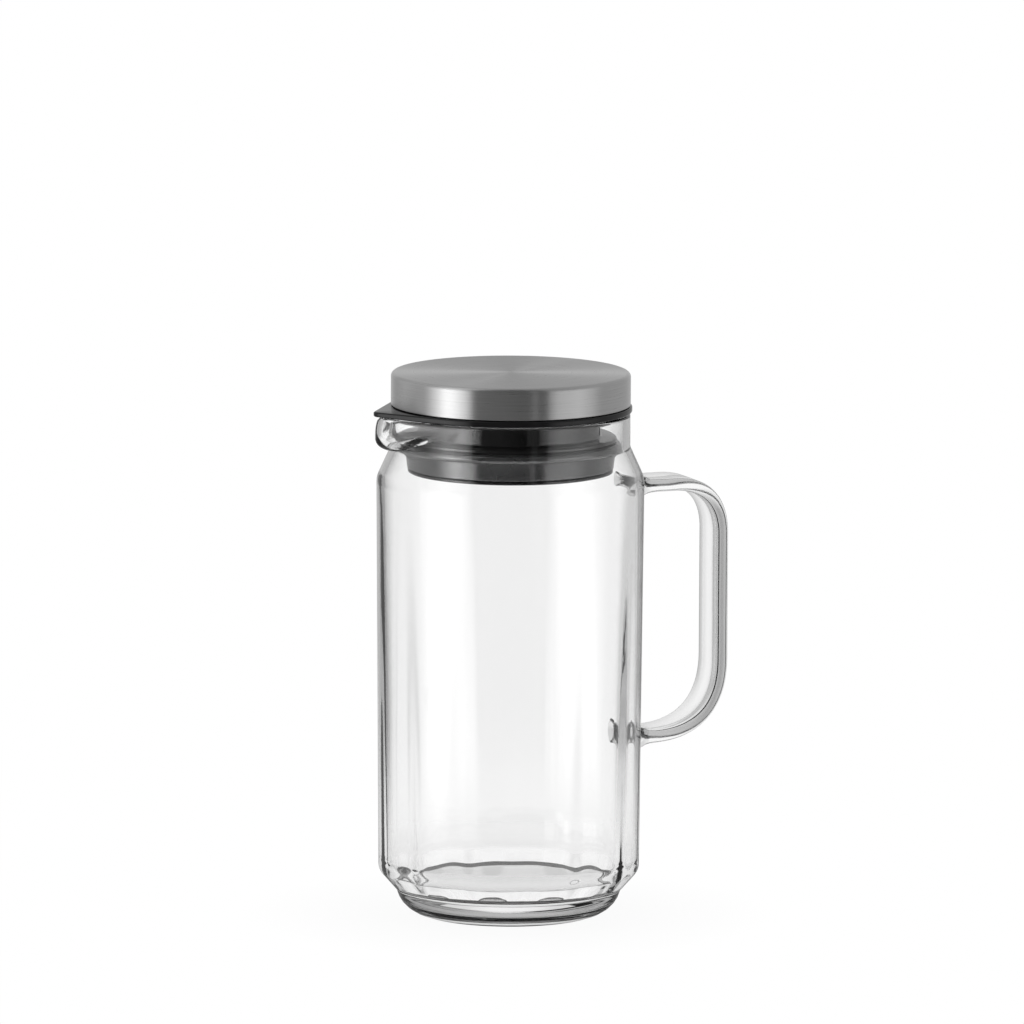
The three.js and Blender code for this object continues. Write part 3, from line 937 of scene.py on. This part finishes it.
mirrored = walls(
    [(-180, 0.55), (180, 0.55), (-165, 0.52), (-146, 0.38), (-124, 0.52), (-100, 0.46), (-87, 0.46)]
    + [(-76, 0.65), (-66, 1.0), (-58, 0.9), (-49, 0.55), (-40, 0.42), (-37, 0.07), (-12, 0.06)]
    + [(12, 0.03), (20, 0.03), (22, 0.16), (26, 0.16), (28, 0.04), (36, 0.05), (38, 0.28), (64, 0.28)]
    + [(84, 0.32), (100, 0.4), (128, 0.42), (146, 0.42), (165, 0.5)]
)
lamp_core = walls(
    [(-180, 0.0), (180, 0.0), (-92, 0.0), (-76, 0.9), (-66, 1.6), (-58, 1.5), (-47, 1.1), (-36, 0.0)]
    + [(36, 0.0), (47, 0.6), (70, 0.75), (86, 0.4), (98, 0.0)]
)
through = walls(
    [(-180, 1.0), (180, 1.0), (-174, 1.0), (-164, 0.82), (-148, 0.7), (-126, 0.55), (-84, 0.52), (-76, 1.0)]
    + [(-46, 1.0), (-38, 0.75), (36, 0.75), (44, 0.9), (76, 0.9), (84, 0.52), (126, 0.55), (148, 0.7)]
    + [(164, 0.82), (174, 1.0)]
)
bounced = nodes.new("ShaderNodeMath")
bounced.operation = "GREATER_THAN"
bounced.inputs[1].default_value = 0.5
links.new(path.outputs["Glossy Depth"], bounced.inputs[0])
core_depth = 0.2
core_full = 0.28
core_end = 0.45
level_core = nodes.new("ShaderNodeMapRange")
level_core.interpolation_type = "SMOOTHSTEP"
level_core.inputs["From Min"].default_value = core_end
level_core.inputs["From Max"].default_value = core_full
above_core = nodes.new("ShaderNodeMath")
above_core.inputs[1].default_value = core_depth
links.new(split.outputs["Z"], above_core.inputs[0])
off_level = nodes.new("ShaderNodeMath")
off_level.operation = "ABSOLUTE"
links.new(above_core.outputs["Value"], off_level.inputs[0])
links.new(off_level.outputs["Value"], level_core.inputs["Value"])
bright_core = nodes.new("ShaderNodeMix")
bright_core.data_type = "RGBA"
bright_core.blend_type = "ADD"
links.new(level_core.outputs["Result"], bright_core.inputs["Factor"])
links.new(mirrored, bright_core.inputs[6])
links.new(lamp_core, bright_core.inputs[7])
seen = choice(bounced.outputs["Value"], through, bright_core.outputs[2])
soft = choice(path.outputs["Is Diffuse Ray"], seen, 0.6)
direct = choice(path.outputs["Is Camera Ray"], soft, 1.0)
sky = nodes.new("ShaderNodeBackground")
links.new(direct, sky.inputs["Color"])
links.new(sky.outputs["Background"], output.inputs["Surface"])

view = bpy.data.cameras.new("photo_view")
view.sensor_width = 36
view.lens = 655
viewpoint = bpy.data.objects.new("photo_view", view)
bpy.context.scene.collection.objects.link(viewpoint)
camera_distance = 7
camera_tilt = math.radians(9)
camera_lean = math.radians(0.28)
jug_middle = 0.103
aim_aside = 0.00065
aim_height = 0.1528
camera_height = jug_middle + camera_distance * math.sin(camera_tilt)
viewpoint.location = toward_camera * camera_distance * math.cos(camera_tilt) + Vector((0, 0, camera_height))
aim = rightward * aim_aside + Vector((0, 0, aim_height))
lean = Quaternion((0, 0, 1), camera_lean)
viewpoint.rotation_euler = ((aim - viewpoint.location).to_track_quat("-Z", "Y") @ lean).to_euler()
view.clip_end = 100
bpy.context.scene.camera = viewpoint
bpy.context.scene.view_settings.view_transform = "Standard"
